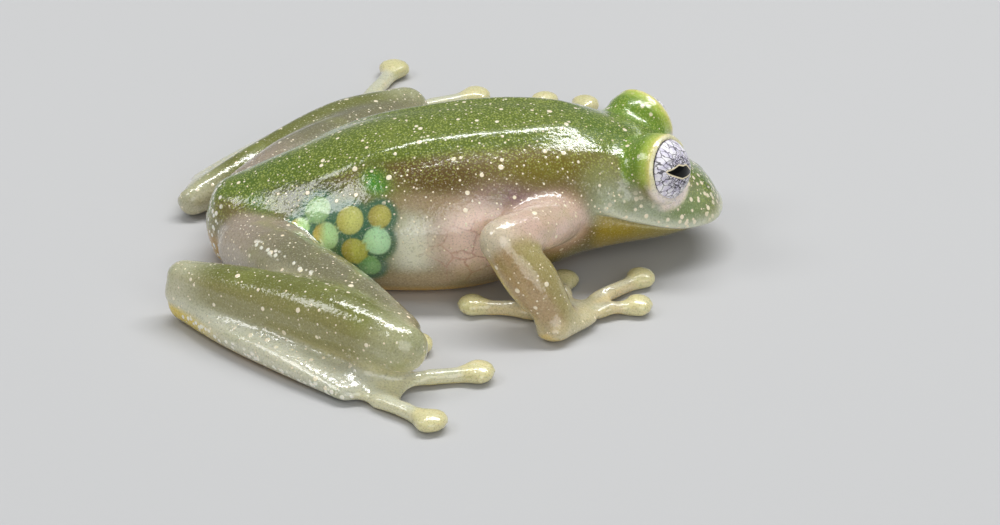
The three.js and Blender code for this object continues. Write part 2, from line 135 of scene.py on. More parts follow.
def bend(x):
    """Sideways place of the midline: level behind the shoulders, then turning smoothly into a slope."""
    return HEAD_TURN * TURN_SOFTNESS * np.log1p(np.exp((x - TURN_START_X) / TURN_SOFTNESS))


def bend_angle(x):
    """Angle of the midline, the slope of bend."""
    return np.arctan(HEAD_TURN / (1 + np.exp(-(x - TURN_START_X) / TURN_SOFTNESS)))


def on_midline(x, side, z):
    """A point given beside a straight midline, carried square across the bent one."""
    angle = bend_angle(x)
    return np.stack(np.broadcast_arrays(x - side * np.sin(angle), bend(x) + side * np.cos(angle), z), axis=-1)


def trunk_sections(rings, around):
    """Places along the trunk and its sections there: along it the sizes are Catmull-Rom values, around it
    each section is a closed centripetal curve through its top, ridges, flanks, under edges and bottom.
    Sections crowd towards the two ends, and stop an inset short of them."""
    last = len(TRUNK["x"]) - 1
    inset = 0.02
    t = inset + (1 - np.cos(np.pi * (np.arange(rings) + 0.5) / rings)) / 2 * (last - 2 * inset)
    size = {k: through(v, t, mirrored=not k.endswith("side")) for k, v in TRUNK.items()}
    none = np.zeros_like(t)
    half = [(none, "top"), ("ridge_side", "ridge_z"), ("flank_side", "flank_z"), ("under_side", "under_z"),
            (none, "bottom")]
    points = [np.stack([size[y] if isinstance(y, str) else y, size[z]], -1) for y, z in half]
    loop = np.stack(points + [p * (-1, 1) for p in points[3:0:-1]], axis=1)
    place = np.arange(around) / around * 8
    i, s = np.floor(place).astype(int), place % 1
    return size["x"], eased(loop[:, (i - 1) % 8], loop[:, i], loop[:, (i + 1) % 8], loop[:, (i + 2) % 8], s)


def trunk_surface(rings, around):
    """Grid over the trunk: its sections carried square to the bent midline."""
    x, p = trunk_sections(rings, around)
    ends = [on_midline(np.array(TRUNK["x"][e]), 0.0, TRUNK["top"][e]) for e in (0, -1)]
    return on_midline(x[:, None], p[..., 0], p[..., 1]), ends


def limb_path(rows, t):
    """Middle points and half sizes at shares t of a limb, on the centripetal curve through its sections."""
    rows = np.asarray(rows, float)
    p = rows[:, :3]
    p = np.concatenate([[2 * p[0] - p[1]], p, [2 * p[-1] - p[-2]]])
    place = np.asarray(t) * (len(rows) - 1)
    i = np.clip(np.floor(place).astype(int), 0, len(rows) - 2)
    at = eased(p[i], p[i + 1], p[i + 2], p[i + 3], place - i)
    return at, through(rows[:, 3], place), through(rows[:, 4], place)


def limb_frames(rows, t):
    """Unit vectors along, across (level) and up at shares t of a limb, the first by small differences."""
    step = 1e-3
    along = limb_path(rows, np.minimum(t + step, 1))[0] - limb_path(rows, np.maximum(t - step, 0))[0]
    along /= np.linalg.norm(along, axis=-1, keepdims=True)
    side = np.cross([0.0, 0.0, 1.0], along)
    side /= np.linalg.norm(side, axis=-1, keepdims=True)
    return along, side, np.cross(along, side)


def limb_surface(rows, rings=40, around=28, cap=7):
    """Grid over a limb: an ellipse carried along its path, with a quarter ellipse turned round each end."""
    t = np.concatenate([np.zeros(cap), np.linspace(0, 1, rings), np.ones(cap)])
    turn = np.pi / 2 * np.arange(1, cap + 1) / (cap + 1)
    past = np.concatenate([-np.sin(turn[::-1]), np.zeros(rings), np.sin(turn)])
    keep = np.concatenate([np.cos(turn[::-1]), np.ones(rings), np.cos(turn)])
    at, wide, deep = limb_path(rows, t)
    along, side, up = limb_frames(rows, t)
    at = at + along * (past * wide)[:, None]
    angle = 2 * np.pi * np.arange(around) / around
    ring = np.cos(angle)[None, :, None] * (side * (wide * keep)[:, None])[:, None]
    ring = ring + np.sin(angle)[None, :, None] * (up * (deep * keep)[:, None])[:, None]
    middle, width, _ = limb_path(rows, np.array([0.0, 1.0]))
    ends = [middle[0] - along[0] * width[0], middle[1] + along[-1] * width[1]]
    return at[:, None] + ring, ends


def digit_rows(root, tip, radius, disc, arch):
    """Sections of a finger or toe: a slim stalk with a low arch that widens into a round disc at its tip."""
    root, tip = np.array([*root[:2], DIGIT_HEIGHT]), np.array([*tip, DIGIT_HEIGHT])
    length = np.linalg.norm(tip - root)
    places = [(0, 0, radius * 1.25, DIGIT_DEPTH * 1.1), (length * 0.35, arch, radius, DIGIT_DEPTH),
              (length - disc * 2.1, arch * 0.3, radius * 0.94, DIGIT_DEPTH),
              (length - disc * 1.05, 0.1, disc * 1.04, DIGIT_DEPTH * 1.2)]
    rows = []
    for reach, lift, wide, deep in places:
        rows.append((*(root + (tip - root) * reach / length + [0, 0, lift]), wide, deep))
    return rows


def web_surface(base, tip_a, tip_b, reach, around=10):
    """Grid over the web between two digits: a lens-shaped ring, thin at its edge, drawn from the palm
    outwards."""
    base, a, b = np.array(base[:2]), np.array(tip_a), np.array(tip_b)
    u = np.linspace(0.05, 1, 16)[:, None]
    hollow = 1 - 0.28 * u
    left, right = base + (a - base) * reach * u, base + (b - base) * reach * u
    v = np.concatenate([np.linspace(0, 1, around), np.linspace(1, 0, around)[1:-1]])[None, :, None]
    bow = 1 - (1 - hollow[..., None]) * 4 * v * (1 - v) * u[..., None]
    flat = base + ((left[:, None] * (1 - v) + right[:, None] * v) - base) * bow
    across = v[0, :, 0]
    lens = np.sqrt(np.clip(4 * across * (1 - across), 0, 1))
    lift = np.concatenate([np.ones(around), -np.ones(around - 2)]) * lens
    height = WEB_HEIGHT + WEB_HALF_DEPTH * lift[None, :] * (1 - 0.35 * u)
    grid = np.concatenate([flat, height[..., None]], -1)
    return grid, [np.array([*base, WEB_HEIGHT]), grid[-1].mean(0)]


def ball_surface(centre, radius, rings=26, around=40):
    """Grid over a ball by latitude and longitude."""
    lat = np.pi * (np.arange(rings) + 1) / (rings + 1)
    lon = 2 * np.pi * np.arange(around) / around
    out, up = np.sin(lat)[:, None], np.cos(lat)[:, None]
    grid = np.stack(np.broadcast_arrays(out * np.cos(lon), out * np.sin(lon), up), -1) * radius + centre
    return grid, [centre + np.array([0, 0, radius]), centre - np.array([0, 0, radius])]


def eye_place(side, turn):
    """Centre of an eye and the unit vector that the eye, or the opening of its lids, faces along."""
    centre = on_midline(np.array(EYE_X), side * EYE_SPREAD, EYE_Z)
    azimuth = bend_angle(EYE_X) + side * turn
    flat = math.cos(EYE_ELEVATION)
    return centre, np.array([math.cos(azimuth) * flat, math.sin(azimuth) * flat, math.sin(EYE_ELEVATION)])


def closed_mesh(name, surfaces):
    """One mesh of closed grids: each ring joins the next, and a fan joins each end ring to its end point.
    A surface that the sum of its signed volumes shows to be inside out has its faces turned."""
    verts, faces, start = [], [], 0
    for grid, ends in surfaces:
        rings, around = grid.shape[:2]
        points = np.concatenate([grid.reshape(-1, 3), ends])
        i, j = np.meshgrid(np.arange(rings - 1), np.arange(around), indexing="ij")
        low, high, nxt = i * around, (i + 1) * around, (j + 1) % around
        quads = np.stack([low + j, low + nxt, high + nxt, high + j], -1).reshape(-1, 4)
        k, kn = np.arange(around), (np.arange(around) + 1) % around
        first = np.stack([np.full(around, rings * around), kn, k], -1)
        end_ring = (rings - 1) * around
        last = np.stack([end_ring + k, end_ring + kn, np.full(around, rings * around + 1)], -1)
        tris = np.concatenate([quads[:, :3], quads[:, [0, 2, 3]], first, last])
        a, b, c = points[tris[:, 0]], points[tris[:, 1]], points[tris[:, 2]]
        if (a * np.cross(b, c)).sum() < 0:
            quads, first, last = quads[:, ::-1], first[:, ::-1], last[:, ::-1]
        verts.append(points)
        faces += (quads + start).tolist() + (first + start).tolist() + (last + start).tolist()
        start += len(points)
    mesh = bpy.data.meshes.new(name)
    mesh.from_pydata((np.concatenate(verts) * MM).tolist(), [], faces)
    mesh.update()
    return mesh


# Every digit with its own sections, spread round the end of its palm. A kind of digit has the distance of its
# root from the palm's middle, the radius of its stalk, that of its disc, and the height of its arch
DIGITS = {"toe": (1.7, 0.55, 1.02, 0.1), "finger": (1.5, 0.5, 0.92, 0.16)}
for digit, tips in TIPS.items():
    spread, radius, disc, arch = DIGITS[digit.split("_")[0]]
    base = np.array(LIMBS[PALMS[digit]][-1][:3])
    for n, tip in enumerate(tips):
        way = (np.array(tip) - base[:2]) / np.linalg.norm(np.array(tip) - base[:2])
        LIMBS[f"{digit}_{n + 1}"] = digit_rows(base[:2] + way * spread, tip, radius, disc, arch)

surfaces = [trunk_surface(150, 120)] + [limb_surface(rows) for rows in LIMBS.values()]
# Each web as the digit it starts from, counted from 0, and its reach as a share of the way to the two tips
WEBS = {"toe": ((0, 0.5), (1, 0.62), (2, 0.62), (3, 0.62)), "finger": ((2, 0.68),)}
for digit, tips in TIPS.items():
    base = LIMBS[PALMS[digit]][-1]
    for n, reach in WEBS[digit.split("_")[0]]:
        surfaces.append(web_surface(base, tips[n], tips[n + 1], reach))
# Flesh that fills the heels, and the hollow between the right knee and the foot, as middles and radii
FILLS = [((-15.35, -7.75, 1.8), 1.14), ((-15.55, 6.15, 0.95), 0.93), ((-4.8, -15.7, 1.2), 0.85)]
for middle, radius in FILLS:
    surfaces.append(ball_surface(np.array(middle), radius))
lids = [eye_place(side, LID_AZIMUTH) for side in (-1, 1)]
for centre, way in lids:
    grid, ends = ball_surface(np.zeros(3), LID_SHELL)
    reach = grid @ way
    grid = grid - np.maximum(reach - LID_EDGE, 0)[..., None] * way
    surfaces.append((grid + centre, [end + centre for end in ends]))

forms = bpy.data.objects.new("forms", closed_mesh("forms", surfaces))
bpy.context.collection.objects.link(forms)
drawn = forms.modifiers.new("drawn_over", "REMESH")
drawn.mode = "VOXEL"
drawn.voxel_size = VOXEL
drawn.adaptivity = 0
skin_mesh = bpy.data.meshes.new_from_object(forms.evaluated_get(bpy.context.evaluated_depsgraph_get()))
bpy.data.objects.remove(forms)
skin_mesh.name = "skin"


def divided(mesh, chosen):
    """The mesh with each face whose corners are all chosen split into four, so that fine folds have room."""
    work = bmesh.new()
    work.from_mesh(mesh)
    work.verts.ensure_lookup_table()
    picked = set(np.flatnonzero(chosen).tolist())
    edges = [e for e in work.edges if e.verts[0].index in picked and e.verts[1].index in picked]
    bmesh.ops.subdivide_edges(work, edges=edges, cuts=1, use_grid_fill=True)
    work.to_mesh(mesh)
    work.free()


def read_points(mesh):
    """Vertex places in millimetres, and the edges as pairs of indices."""
    co = np.empty(len(mesh.vertices) * 3)
    mesh.vertices.foreach_get("co", co)
    pairs = np.empty(len(mesh.edges) * 2, int)
    mesh.edges.foreach_get("vertices", pairs)
    return co.reshape(-1, 3) / MM, pairs.reshape(-1, 2)


def around_mean(values, pairs):
    """Mean of each point's neighbours along the edges."""
    values = values.reshape(len(values), -1)
    one, other = pairs[:, 0], pairs[:, 1]
    total = [np.bincount(one, v[other], len(v)) + np.bincount(other, v[one], len(v)) for v in values.T]
    return np.squeeze(np.stack(total, -1) / np.bincount(pairs.ravel(), minlength=len(values))[:, None])


def smoothed(points, pairs, weight, rounds):
    """Each point moves half way towards the mean of its neighbours, times its own weight, over and over."""
    for _ in range(rounds):
        points = points + weight[:, None] * 0.5 * (around_mean(points, pairs) - points)
    return points


def normals_of(mesh, points):
    """Outward unit vectors at the points, once they are written to the mesh."""
    mesh.vertices.foreach_set("co", (points * MM).ravel())
    mesh.update()
    out = np.empty(len(points) * 3)
    mesh.vertex_normals.foreach_get("vector", out)
    return out.reshape(-1, 3)


def rise(value, low, high):
    """Smooth step from 0 at low to 1 at high."""
    s = np.clip((value - low) / (high - low), 0, 1)
    return s * s * (3 - 2 * s)


def hump(value, middle, width):
    """Bell curve of height 1."""
    return np.exp(-((value - middle) / width) ** 2)


def along_midline(points):
    """Place along the bent midline and distance beside it, found in a few steps from a point's x and y."""
    x = points[:, 0]
    for _ in range(6):
        angle = bend_angle(x)
        side = (points[:, 1] - bend(x)) / np.cos(angle)
        x = points[:, 0] + side * np.sin(angle)
    return x, side


def outside_trunk(x, side, z, rings=90, around=96):
    """How far a point lies outside the trunk's section at x, measured out from the section's middle at the
    point's own angle."""
    places, sections = trunk_sections(rings, around)
    middle = sections[..., 1].mean(1)
    angles = np.linspace(-np.pi, np.pi, around)
    reach = np.empty((rings, around))
    for k in range(rings):
        out, up = sections[k, :, 0], sections[k, :, 1] - middle[k]
        turn = np.arctan2(up, out)
        order = np.argsort(turn)
        reach[k] = np.interp(angles, turn[order], np.hypot(out, up)[order], period=2 * np.pi)
    at = np.interp(x, places, np.arange(rings))
    i = np.minimum(at.astype(int), rings - 2)
    centre = np.interp(x, places, middle)
    j = (np.arctan2(z - centre, side) + np.pi) / (2 * np.pi) * (around - 1)
    j0 = np.minimum(j.astype(int), around - 2)
    edge = sum(reach[i + a, j0 + b] * np.abs(1 - a - (at - i)) * np.abs(1 - b - (j - j0))
               for a in (0, 1) for b in (0, 1))
    return np.hypot(side, z - centre) - edge


def beside(points, rows, fine=40):
    """For each point, the nearest place on a limb: its share along the limb, how far the point lies outside
    the skin there, by its ellipse's measure, and how far it lies towards the top, from -1 to 1."""
    t = np.linspace(0, 1, fine)
    at, wide, deep = limb_path(rows, t)
    near = np.full(len(points), np.inf)
    best = np.zeros(len(points), int)
    for k in range(fine):
        d = ((points - at[k]) ** 2).sum(1) - (wide[k] * deep[k])
        closer = d < near
        near[closer], best[closer] = d[closer], k
    along, side, up = limb_frames(rows, t)
    off = points - at[best]
    s, u, a = [(off * w[best]).sum(1) for w in (side, up, along)]
    measure = np.sqrt((s / wide[best]) ** 2 + (u / deep[best]) ** 2 + (a / deep[best]) ** 2)
    return t[best], (measure - 1) * deep[best], u / np.maximum(np.sqrt(s**2 + u**2), 1e-6)


# Creases between the forms are filled softly, less where a thigh, shank and foot lie folded on one another
points, pairs = read_points(skin_mesh)
near = {name: beside(points, LIMBS[name]) for name in LIMBS if name[:3] in ("thi", "sha", "foo")}
crease = np.clip(((around_mean(points, pairs) - points) * normals_of(skin_mesh, points)).sum(1) / 0.01, 0, 1)
for _ in range(6):
    crease = np.clip(around_mean(crease, pairs) * 1.5, 0, 1)
# A point that is this close to two forms, in millimetres, lies between them
CLOSE = 0.9
for side in ("right", "left"):
    thigh, shank, foot = (near[f"{part}_{side}"] for part in ("thigh", "shank", "foot"))
    by_thigh, by_shank, by_foot = (rise(CLOSE - np.abs(part[1]), 0, 0.5) for part in (thigh, shank, foot))
    folded = by_thigh * by_shank * rise(shank[0], 0.08, 0.2)
    under = by_foot * by_shank * rise(0.95 - shank[0], 0, 0.1)
    crease = crease * (1 - 0.9 * np.clip(folded + under, 0, 1))
points = smoothed(points, pairs, crease, 60)
points = smoothed(points, pairs, np.full(len(points), 0.6), 2)

# The head's fine folds get smaller faces
MOUTH = [(7.4, 4.7), (9.4, 3.8), (11.2, 3.1), (13.1, 2.4), (14.4, 2.2), (15.4, 2.2), (17.0, 2.2)]
NOSTRIL = (14.5, 1.35, 3.95)
EAR, EAR_RADIUS = (8.9, 4.35, 5.65), 0.6


def head_places(points):
    """Place along the midline and beside it, height over the mouth line, how fully the mouth is drawn there,
    and the distances from the nostril and the ear of that side."""
    x, side = along_midline(points)
    over = points[:, 2] - np.interp(x, *np.array(MOUTH).T)
    drawn = rise(x, 7.0, 8.6) * rise(points[:, 2], 0.7, 1.2)
    beside_line = np.stack([x, np.abs(side), points[:, 2]], -1)
    nostril, ear = (np.linalg.norm(beside_line - place, axis=1) for place in (NOSTRIL, EAR))
    return x, side, over, drawn, nostril, ear


for _ in range(2):
    normals_of(skin_mesh, points)
    _, _, over, drawn, nostril, _ = head_places(points)
    fine = (np.abs(over) < 0.5) & (drawn > 0.02) | (nostril < 0.6)
    for centre, way in lids:
        off = points - centre
        fine |= (np.abs(off @ way - LID_EDGE) < 0.4) & (np.linalg.norm(off, axis=1) < LID_SHELL + 0.3)
    divided(skin_mesh, fine)
    points, pairs = read_points(skin_mesh)
    _, _, over, drawn, _, _ = head_places(points)
    points = smoothed(points, pairs, rise(0.6 - np.abs(over), 0, 0.3) * rise(drawn, 0, 0.1), 3)

# Lips, lower jaw, nostrils and ears are pushed in or out along the skin's own normals, and each lid is
# brought to its own distance from the middle of the eye
normals = normals_of(skin_mesh, points)
x, side, over, drawn, nostril, ear = head_places(points)
push = drawn * (0.1 * hump(over, 0.32, 0.24) - 0.22 * hump(over, -0.1, 0.13)
                - 0.1 * rise(-over, 0, 0.14) * rise(1.5 + over, 0, 1.2))
# A low fold runs from the eye to the hip along each edge of the back
FOLD_X = [-8.9, -6.6, -3.7, -1.5, 0.7, 3.5, 5.9, 7.0]
FOLD_SIDE = [2.7, 2.85, 2.5, 2.25, 2.3, 2.2, 1.7, 1.6]
fold_side = np.interp(x, FOLD_X, FOLD_SIDE)
fold = rise(points[:, 2], 4.6, 5.6) * rise(x, -9.6, -7.0) * rise(-x, -8.0, -6.0)
push += (0.13 * fold * hump(np.abs(side), fold_side - 0.1, 0.5)
         - 0.07 * fold * hump(np.abs(side), fold_side + 1.2, 0.6))
push += 0.1 * hump(nostril, 0, 0.42) - 0.3 * hump(nostril, 0, 0.13)
push += 0.03 * hump(ear, EAR_RADIUS, 0.16) - 0.04 * hump(ear, EAR_RADIUS - 0.25, 0.2)
points = points + normals * push[:, None]
for centre, way in lids:
    off = points - centre
    reach, far = off @ way, np.linalg.norm(off, axis=1)
    lid = rise(reach, 0.2, 0.55) * rise(LID_SHELL + 0.35 - far, 0, 0.2) * (reach < LID_EDGE - 0.01)
    shell = LID_SHELL + 0.07 * hump(reach, LID_EDGE - 0.16, 0.16)
    points = points + (off / far[:, None]) * ((shell - far) * lid)[:, None]
points[:, 2] = np.maximum(points[:, 2], 0)


def light(*rgb):
    """A colour seen on a screen, 0 to 255, as linear light."""
    c = np.array(rgb, float) / 255
    return np.where(c <= 0.04045, c / 12.92, ((c + 0.055) / 1.055) ** 2.4)


def mixed(a, b, share):
    """Colours a and b mixed point by point."""
    return a + (b - a) * np.asarray(share)[..., None]


# Which form each point of the skin belongs to, soft across the joins
JOIN_SOFTNESS = 0.16
near = {name: beside(points, rows) for name, rows in LIMBS.items()}
x, side = along_midline(points)
z = points[:, 2]
gap = np.stack([outside_trunk(x, side, z)] + [near[name][1] for name in LIMBS], -1)
belongs = np.exp(-(gap - gap.min(1, keepdims=True)) / JOIN_SOFTNESS)
belongs /= belongs.sum(1, keepdims=True)

# Colours of the trunk. Both flanks are coloured alike, from patches placed on the right one. A patch has its
# place along the floor, its height, its half length and half height, its colour and how strong it is
FLANK = [
    (-14.2, 3.2, 1.4, 1.6, (128, 120, 68), 1.0), (-13.6, 1.4, 2.6, 0.9, (186, 138, 24), 1.0),
    (-11.4, 5.0, 1.3, 0.7, (66, 128, 24), 0.8), (-8.9, 5.7, 3.2, 1.1, (76, 72, 16), 1.0),
    (-6.3, 4.0, 2.7, 1.8, (92, 148, 96), 1.0), (-4.4, 6.9, 0.9, 0.6, (52, 146, 12), 1.0),
    (-2.3, 3.9, 1.35, 1.9, (240, 240, 216), 1.0), (-2.0, 1.5, 2.8, 0.8, (186, 164, 124), 0.9),
    (1.6, 4.2, 2.7, 2.5, (255, 222, 204), 1.0), (-1.0, 7.35, 3.6, 0.85, (96, 72, 8), 0.95),
    (-1.4, 6.2, 2.4, 0.5, (176, 150, 118), 0.6), (3.9, 6.5, 2.5, 0.7, (140, 108, 112), 0.9),
    (6.2, 4.2, 1.4, 1.6, (246, 184, 160), 0.9), (5.4, 7.4, 2.5, 0.9, (118, 104, 8), 0.95),
    (8.4, 6.7, 1.2, 0.8, (150, 156, 96), 0.6), (9.2, 5.2, 1.9, 1.2, (166, 172, 140), 1.0),
    (11.6, 4.2, 2.6, 0.9, (162, 172, 140), 1.0), (13.6, 3.6, 2.2, 1.1, (132, 152, 96), 0.9),
]
right = on_midline(x, -np.abs(side), z)
ridge = np.interp(x, TRUNK["x"], TRUNK["ridge_z"])
back = mixed(light(98, 116, 22), light(90, 118, 26), rise(x, 5, 9))
back = mixed(back, light(86, 112, 18), rise(-x, 6, 12))
flank = np.broadcast_to(light(116, 102, 40), points.shape)
for along, high, long, tall, colour, strength in FLANK:
    share = strength * np.exp(-(((right[:, 0] - along) / long) ** 2 + ((z - high) / tall) ** 2) ** 1.5)
    flank = mixed(flank, light(*colour), share)
belly = mixed(light(236, 180, 30), light(214, 186, 120), rise(z, 0.3, 1.3))
throat = mixed(light(172, 148, 48), light(150, 136, 44), rise(x, 8, 13))
trunk = mixed(flank, belly, rise(-z, -1.2, -0.4) * (x < 8))
trunk = mixed(trunk, back, rise(z - ridge, -0.15, 0.35))
trunk = mixed(trunk, throat, rise(x, 6.9, 8.0) * rise(-over, 0, 0.15))
trunk = mixed(trunk, light(226, 228, 204), 0.85 * drawn * hump(over, 0.3, 0.42))

# Each egg that shows through the flank: middle, radius, colour, and the colour of its side towards the tail
EGGS = [
    ((-7.8, -4.2, 5.15), 0.80, (166, 206, 142), (158, 198, 132)),
    ((-5.9, -5.2, 5.0), 0.82, (216, 218, 122), (206, 200, 100)),
    ((-4.2, -5.5, 5.4), 0.68, (196, 190, 96), (184, 172, 84)),
    ((-8.8, -4.5, 4.1), 0.64, (196, 236, 158), (206, 194, 96)),
    ((-7.3, -5.2, 4.0), 0.79, (206, 248, 176), (212, 190, 90)),
    ((-4.35, -6.1, 4.15), 0.80, (206, 255, 200), (200, 248, 184)),
    ((-5.65, -5.9, 3.4), 0.78, (208, 210, 98), (196, 182, 78)),
    ((-4.8, -6.0, 2.6), 0.68, (140, 196, 118), (122, 176, 102)),
]
inside = np.full(len(points), -9.0)
egg_tint = np.zeros_like(points)
for middle, radius, colour, shade in EGGS:
    off_x = right[:, 0] - middle[0]
    deep = radius - np.linalg.norm(right - middle, axis=1)
    ball = mixed(light(*shade), light(*colour), rise(off_x / radius, -0.75, 0.1))
    # Painted shading: each egg is painted lighter in its middle and darker towards its edge, so that it looks
    # round.
    ball = ball * (0.7 + 0.36 * np.sqrt(np.clip(deep / radius, 0, 1)))[:, None]
    closer = deep > inside
    inside[closer], egg_tint[closer] = deep[closer], ball[closer]

# Colours of the limbs: top, side and underside. How they change along a limb is below, where a share of 0 is
# the end nearer the trunk
LIMB_TINTS = {
    "thigh": ((124, 120, 90), (176, 170, 142), (214, 172, 80)),
    "shank": ((112, 116, 50), (150, 144, 86), (214, 202, 150)),
    "foot": ((208, 208, 184), (212, 210, 184), (236, 186, 40)),
    "upper_arm": ((214, 184, 166), (228, 196, 178), (238, 206, 166)),
    "forearm": ((168, 154, 98), (184, 154, 108), (240, 212, 120)),
    "hand": ((200, 196, 168), (208, 198, 158), (236, 210, 130)),
    "toe": ((206, 206, 180), (222, 218, 180), (236, 214, 130)),
    "finger": ((200, 194, 164), (222, 206, 160), (238, 210, 130)),
}
DISC = (224, 216, 164)
limb_colours = []
for name in LIMBS:
    share, _, up = near[name]
    part = name.rsplit("_right", 1)[0].rsplit("_left", 1)[0]
    top, middle, low = (light(*c) for c in LIMB_TINTS[part])
    colour = mixed(mixed(middle, top, rise(up, 0.45, 0.95)), low, rise(-up, 0.25, 0.8))
    if part in ("toe", "finger"):
        colour = mixed(colour, light(*DISC), rise(share, 0.62, 0.85))
    elif part == "shank":
        # The knee end is painted paler: the knee's own pale skin, with a painted highlight in it.
        colour = mixed(colour, light(206, 206, 168), 0.5 * rise(-share, -0.2, -0.02))
        colour = mixed(colour, light(222, 218, 190), 0.6 * rise(share, 0.78, 1.0))
    elif part == "thigh":
        # Painted sheen: the thigh is painted pinkish white near the hip.
        colour = mixed(colour, light(200, 176, 166), 0.45 * rise(-share, -0.45, -0.1))
    elif part == "foot":
        colour = mixed(colour, light(198, 198, 176), rise(share, 0.7, 1.0))
        colour = mixed(colour, light(230, 200, 30), 0.9 * rise(-share, -0.4, -0.12) * rise(-up, -0.4, 0.0))
    elif part == "forearm":
        colour = mixed(colour, light(226, 216, 190), 0.8 * rise(-share, -0.16, 0.0))
    limb_colours.append(colour)
tint = (np.stack([trunk] + limb_colours, 1) * belongs[..., None]).sum(1)

# The lids: green above, yellow and then cream towards the eye, pinkish white under it
lid_front = np.zeros(len(points))
for centre, way in lids:
    off = points - centre
    reach, far = off @ way, np.linalg.norm(off, axis=1)
    on_lid = rise(LID_SHELL + 0.5 - far, 0, 0.3)
    dome = on_lid * rise(z, 5.6, 6.6)
    tint = mixed(tint, light(112, 148, 30), 0.85 * dome)
    tint = mixed(tint, light(186, 204, 84), dome * rise(reach, -0.2, 0.6))
    tint = mixed(tint, light(228, 220, 130), on_lid * rise(reach, 0.5, 0.8))
    tint = mixed(tint, light(248, 240, 200), 0.8 * on_lid * rise(reach, 0.76, 0.88))
    tint = mixed(tint, light(246, 232, 222), on_lid * rise(reach, 0.3, 0.7) * rise(-z, -6.6, -5.6))
    lid_front = np.maximum(lid_front, on_lid * rise(reach, -0.6, 0.4))

# How much of each marking the skin has: granules, round spots, veins, enamel
on_trunk, limbs = belongs[:, 0], 1 - belongs[:, 0]
gut = np.exp(-(((right[:, 0] - 1.6) / 2.9) ** 2 + ((z - 3.4) / 2.2) ** 2) ** 1.5)
off_mouth = 1 - 0.85 * drawn * rise(0.6 - over, 0, 0.8)
granules = on_trunk * (0.16 + 0.84 * rise(z - ridge, -1.4, 0.1)) * off_mouth
granules = granules * (1 - rise(-z, -2.5, -1.0)) * (1 - 0.75 * lid_front) + limbs * 0.12
spots = on_trunk * rise(z, 1.6, 3.6) * (1 - 0.9 * drawn * rise(-over, 0, 0.1)) * (1 - 0.8 * lid_front)
spots = np.clip(spots + limbs, 0, 1)
digits = sum(belongs[:, 1 + n] for n, name in enumerate(LIMBS) if name.startswith(("toe", "finger")))
spots = spots * (1 - 0.85 * digits) * (1 - 0.9 * on_trunk * rise(inside, -0.3, 0.0))
cheek = on_trunk * drawn * 1.3 * hump(x, 11.4, 4.4) * rise(over, 0.1, 0.4) * rise(-z, -6.2, -4.6)
enamel = 0.95 * drawn * hump(over, 0.12, 0.1) * rise(x, 9.5, 12)
edges = np.zeros(len(points))
for n, name in enumerate(LIMBS):
    share, _, up = near[name]
    if name.startswith("foot"):
        edges += belongs[:, 1 + n] * hump(up, -0.1, 0.3) * rise(share, 0.02, 0.1)
    elif name.startswith("thigh"):
        row = 0.8 * belongs[:, 1 + n] * hump(up, 0.75, 0.12)
        edges += row * rise(share, 0.1, 0.3) * rise(-share, -0.9, -0.7)
vent = on_trunk * hump(x, -14.2, 0.9) * rise(z, 0.4, 1.0)
edges = np.clip(edges + vent, 0, 1)


def keep(mesh, name, colours, last):
    """Colours and one more value for each point, kept as an attribute of the mesh."""
    made = mesh.attributes.new(name, "FLOAT_COLOR", "POINT")
    made.data.foreach_set("color", np.column_stack([np.clip(colours, 0, 1), np.clip(last, 0, 1)]).ravel())


normals_of(skin_mesh, points)
keep(skin_mesh, "tint", tint, enamel)
keep(skin_mesh, "egg_tint", egg_tint, np.where(on_trunk > 0.5, 0.5 + inside * 0.5, 0))
keep(skin_mesh, "marks", np.stack([granules, spots, on_trunk * gut], -1), edges)
keep(skin_mesh, "build", np.stack([limbs, hump(nostril, 0, 0.17), np.zeros(len(points))], -1), cheek)


def add(tree, kind, sockets, out=0, **settings):
    """Output socket of a new shader node. Its sockets take plain values, or other nodes' outputs as links."""
    node = tree.nodes.new("ShaderNode" + kind)
    for key, value in settings.items():
        setattr(node, key, value)
    for key, value in sockets.items():
        if isinstance(value, bpy.types.NodeSocket):
            tree.links.new(value, node.inputs[key])
        else:
            node.inputs[key].default_value = value
    return node.outputs[out]


def calc(tree, operation, a, b=0.0):
    """Sum, product or other plain reckoning of two values."""
    return add(tree, "Math", {0: a, 1: b}, operation=operation)


def blend(tree, share, a, b):
    """Colours a and b mixed by share. A plain colour is given as seen on a screen, 0 to 255."""
    a, b = (c if isinstance(c, bpy.types.NodeSocket) else (*light(*c), 1) for c in (a, b))
    return add(tree, "Mix", {0: share, 6: a, 7: b}, out=2, data_type="RGBA")


def step(tree, value, low, high):
    """Smooth step from 0 at low to 1 at high, falling where high is the smaller."""
    flip = high < low
    sockets = {0: value, 1: min(low, high), 2: max(low, high), 3: float(flip), 4: float(not flip)}
    return add(tree, "MapRange", sockets, interpolation_type="SMOOTHSTEP")


def new_material(name, **settings):
    """A material with a Principled shader, and its tree and shader."""
    made = bpy.data.materials.new(name)
    made.use_nodes = True
    shader = made.node_tree.nodes["Principled BSDF"]
    for key, value in settings.items():
        shader.inputs[key.replace("_", " ")].default_value = value
    return made, made.node_tree, shader


# Wet, thin skin: light passes into it, and a film of water gives it sharp, bright reflections
skin_look, tree, shader = new_material(
    "wet_skin", Roughness=0.4, Specular_IOR_Level=0.12, Coat_Weight=1.0, Coat_IOR=1.75,
    Subsurface_Weight=0.3, Subsurface_Scale=0.0005, Subsurface_Radius=(1.0, 0.8, 0.5))
place = add(tree, "TexCoord", {}, out="Object")
tint_of = add(tree, "Attribute", {}, attribute_name="tint")
egg_of = add(tree, "Attribute", {}, attribute_name="egg_tint")
marks_of = add(tree, "Attribute", {}, attribute_name="marks")
build_of = add(tree, "Attribute", {}, attribute_name="build")
marks = add(tree, "SeparateColor", {0: marks_of}).node.outputs
build = add(tree, "SeparateColor", {0: build_of}).node.outputs
colour = tint_of

